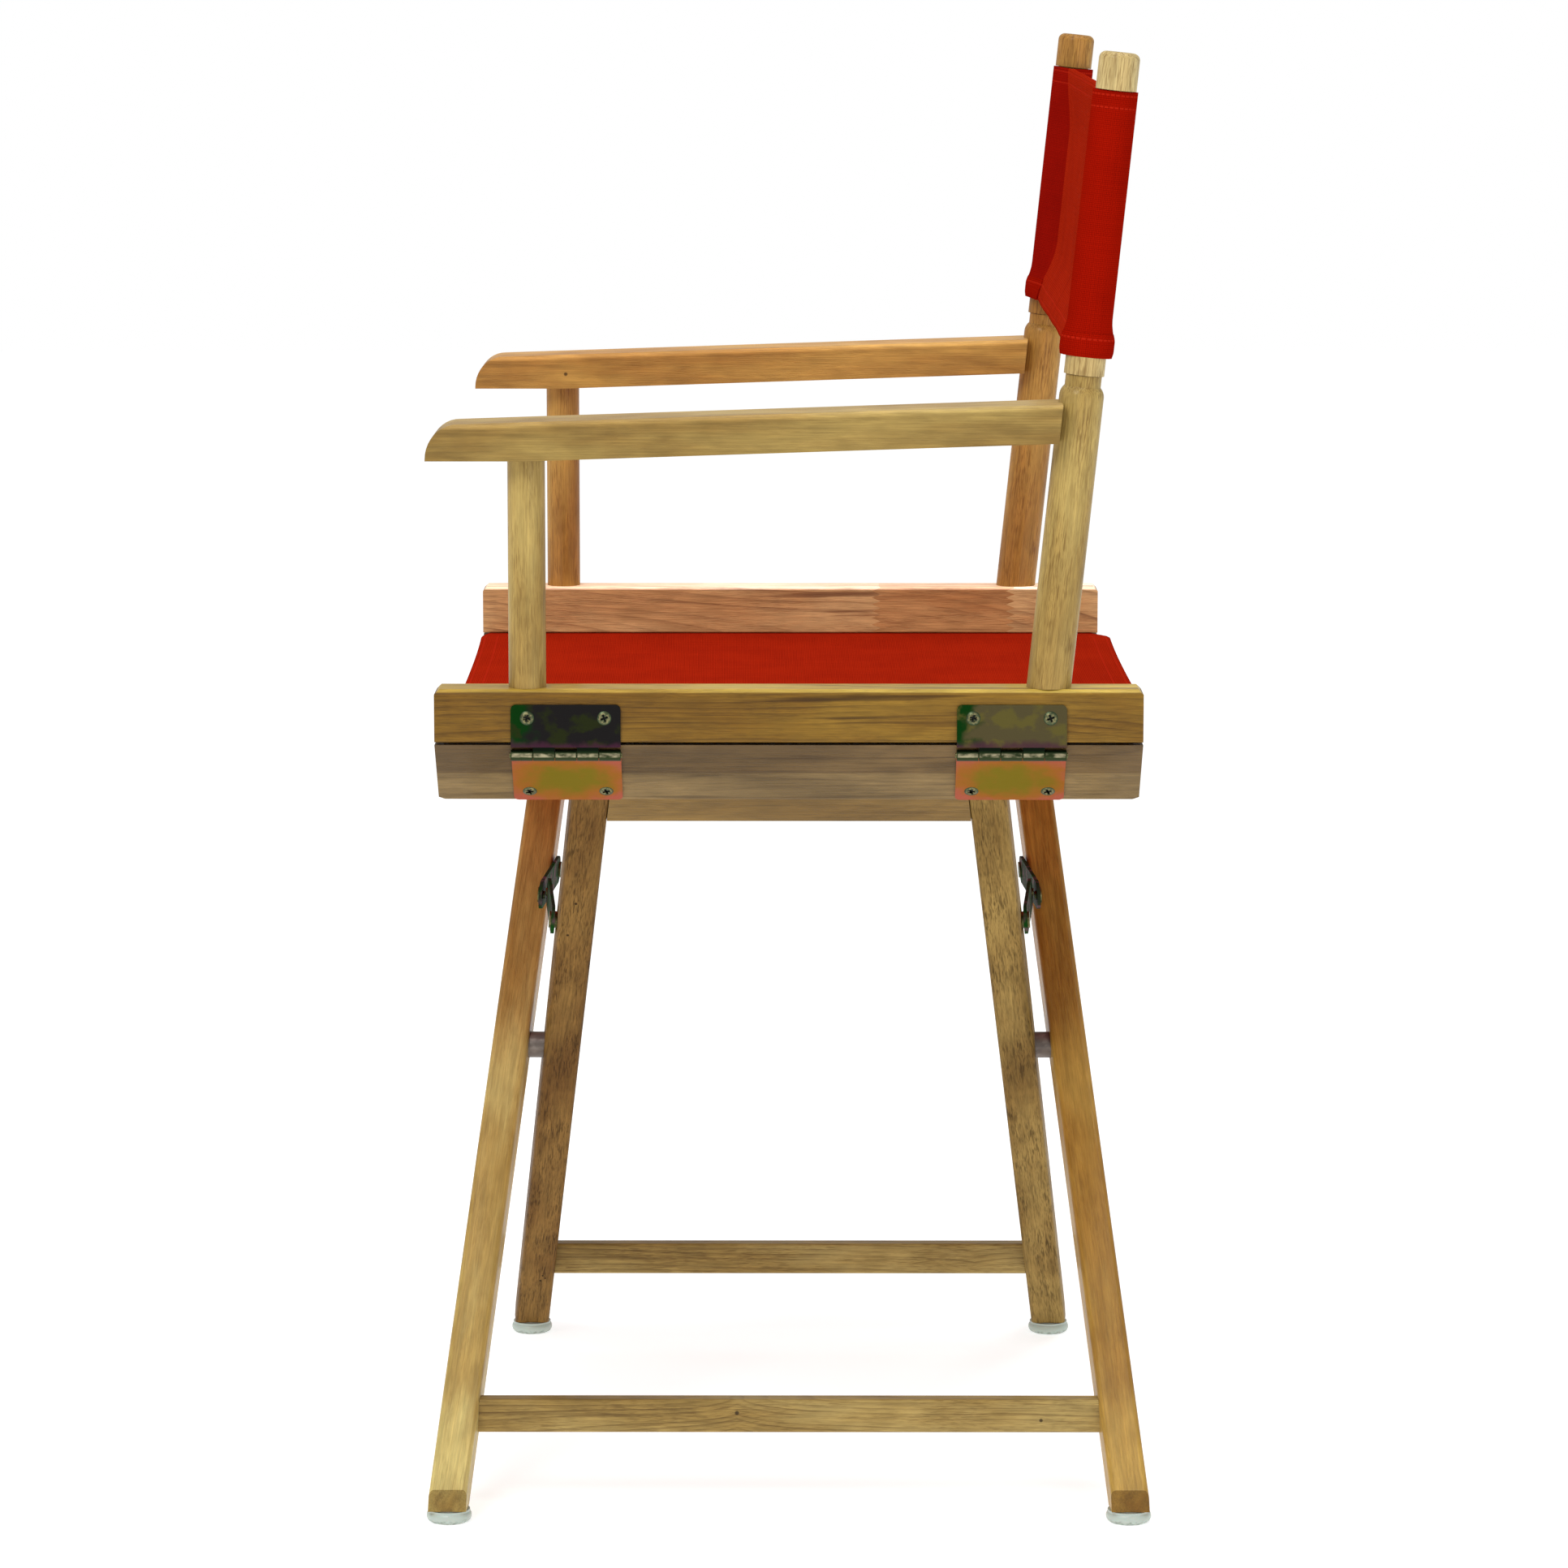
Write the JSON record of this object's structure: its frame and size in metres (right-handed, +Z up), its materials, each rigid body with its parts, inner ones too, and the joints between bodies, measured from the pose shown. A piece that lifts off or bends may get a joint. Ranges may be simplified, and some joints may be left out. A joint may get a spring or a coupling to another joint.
{
  "type": "director chair",
  "caption": "Folding wooden director chair: crossed leg frames on pivots, hinged side frames with arms, and a slung canvas seat and back.",
  "frame": {"origin": "on the floor under the middle of the chair", "axes": "+Z up, the sitter faces -Y, +X is the sitter's left"},
  "size_m": [0.5526, 0.422, 0.8502],
  "materials": {
    "wood_pale": "clear lacquer, satin",
    "wood_tan": "clear lacquer, satin",
    "wood_orange": "clear lacquer, satin",
    "wood_brown": "clear lacquer, satin",
    "canvas": "plain-weave cotton duck",
    "zinc_gold": "yellow-passivated zinc plating",
    "zinc_dark": "dark green-black passivated zinc plating",
    "steel": "zinc-plated steel",
    "glide_plastic": "smooth moulded plastic"
  },
  "bodies": {
    "outer_frame": {"outer_leg_front": "wood_orange", "outer_leg_rear": "wood_orange", "outer_hinge_rail": "wood_brown", "outer_cross_rail": "wood_brown", "outer_stretcher": "wood_tan", "outer_glides": "glide_plastic", "pivot_bolts": "steel", "pivot_washers": "steel", "pivot_nuts": "steel", "pivot_spacers": "steel", "right_hinge_front_lower": "zinc_gold", "right_hinge_rear_lower": "zinc_gold", "right_hinge_pins": "zinc_dark", "right_lower_screws": "zinc_dark", "outer_stay_rivets": "zinc_gold"},
    "inner_frame": {"inner_leg_front": "wood_brown", "inner_leg_rear": "wood_brown", "inner_hinge_rail": "wood_brown", "inner_cross_rail": "wood_brown", "inner_stretcher": "wood_tan", "inner_glides": "glide_plastic", "left_hinge_front_lower": "zinc_gold", "left_hinge_rear_lower": "zinc_gold", "left_hinge_pins": "zinc_dark", "left_lower_screws": "zinc_dark", "inner_stay_rivets": "zinc_gold"},
    "side_left": {"left_seat_rail": "wood_tan", "left_front_post": "wood_pale", "left_back_post": "wood_pale", "left_armrest": "wood_pale", "left_seat_dowel": "wood_pale", "left_hinge_front_upper": "zinc_dark", "left_hinge_rear_upper": "zinc_dark", "left_upper_screws": "zinc_dark"},
    "side_right": {"right_seat_rail": "wood_orange", "right_front_post": "wood_orange", "right_back_post": "wood_orange", "right_armrest": "wood_orange", "right_seat_dowel": "wood_pale", "right_hinge_front_upper": "zinc_dark", "right_hinge_rear_upper": "zinc_dark", "right_upper_screws": "zinc_dark"},
    "back_left": {"left_back_stick": "wood_pale", "back_cover_left": "canvas"},
    "back_right": {"right_back_stick": "wood_pale", "back_cover_right": "canvas"},
    "seat_left": {"seat_cover_left": "canvas"},
    "seat_right": {"seat_cover_right": "canvas"},
    "stay_outer_front": {"outer_stay_front": "zinc_gold", "outer_stay_front_rivet": "zinc_gold"},
    "stay_outer_rear": {"outer_stay_rear": "zinc_gold", "outer_stay_rear_rivet": "zinc_gold"},
    "stay_inner_front": {"inner_stay_front": "zinc_gold", "inner_stay_front_rivet": "zinc_gold"},
    "stay_inner_rear": {"inner_stay_rear": "zinc_gold", "inner_stay_rear_rivet": "zinc_gold"}
  },
  "joints": [
    {"name": "fold", "type": "hinge", "parent": "outer_frame", "child": "inner_frame", "pos_m": [0, 0, 0.2374], "axis": [0, -1, 0], "range_deg": [0, 85]},
    {"name": "right_side_hinge", "type": "hinge", "parent": "outer_frame", "child": "side_right", "pos_m": [-0.2668, 0, 0.4557], "axis": [0, -1, 0], "range_deg": [0, 42.51]},
    {"name": "left_side_hinge", "type": "hinge", "parent": "inner_frame", "child": "side_left", "pos_m": [0.2668, 0, 0.4557], "axis": [0, 1, 0], "range_deg": [0, 42.51]},
    {"name": "left_stick_turn", "type": "hinge", "parent": "side_left", "child": "back_left", "pos_m": [0.2545, 0.147, 0.4932], "axis": [0, -0.1045, -0.9945], "range_deg": [0, 86.71], "deforming": ["back_cover_left"]},
    {"name": "right_stick_turn", "type": "hinge", "parent": "side_right", "child": "back_right", "pos_m": [-0.2545, 0.147, 0.4932], "axis": [0, 0.1045, 0.9945], "range_deg": [0, 86.71], "deforming": ["back_cover_right"]},
    {"name": "left_seat_fold", "type": "hinge", "parent": "side_left", "child": "seat_left", "pos_m": [0.2405, 0, 0.4622], "axis": [0, 1, 0], "range_deg": [0, 83.73], "deforming": ["seat_cover_left"]},
    {"name": "right_seat_fold", "type": "hinge", "parent": "side_right", "child": "seat_right", "pos_m": [-0.2405, 0, 0.4622], "axis": [0, -1, 0], "range_deg": [0, 83.73], "deforming": ["seat_cover_right"]},
    {"name": "outer_stay_front_pivot", "type": "hinge", "parent": "outer_frame", "child": "stay_outer_front", "pos_m": [-0.09695, -0.15976, 0.33167], "axis": [-0.0594, -0.9966, 0.0577], "range_deg": [0, 127.51]},
    {"name": "outer_stay_rear_pivot", "type": "hinge", "parent": "outer_frame", "child": "stay_outer_rear", "pos_m": [-0.09695, 0.15976, 0.33167], "axis": [0.0594, -0.9966, -0.0577], "range_deg": [0, 127.51]},
    {"name": "inner_stay_front_pivot", "type": "hinge", "parent": "inner_frame", "child": "stay_inner_front", "pos_m": [0.09685, -0.12765, 0.33159], "axis": [-0.0668, 0.9956, -0.065], "range_deg": [0, 127.51]},
    {"name": "inner_stay_rear_pivot", "type": "hinge", "parent": "inner_frame", "child": "stay_inner_rear", "pos_m": [0.09685, 0.12765, 0.33159], "axis": [0.0668, 0.9956, 0.065], "range_deg": [0, 127.51]}
  ],
  "couplings": [
    {"joint": "right_side_hinge", "follows": "fold", "ratio": 0.5},
    {"joint": "left_side_hinge", "follows": "fold", "ratio": 0.5},
    {"joint": "left_stick_turn", "follows": "fold", "ratio": 1.02},
    {"joint": "right_stick_turn", "follows": "fold", "ratio": 1.02},
    {"joint": "left_seat_fold", "follows": "fold", "ratio": 0.985},
    {"joint": "right_seat_fold", "follows": "fold", "ratio": 0.985},
    {"joint": "outer_stay_front_pivot", "follows": "fold", "ratio": 1.5},
    {"joint": "outer_stay_rear_pivot", "follows": "fold", "ratio": 1.5},
    {"joint": "inner_stay_front_pivot", "follows": "fold", "ratio": 1.5},
    {"joint": "inner_stay_rear_pivot", "follows": "fold", "ratio": 1.5}
  ]
}
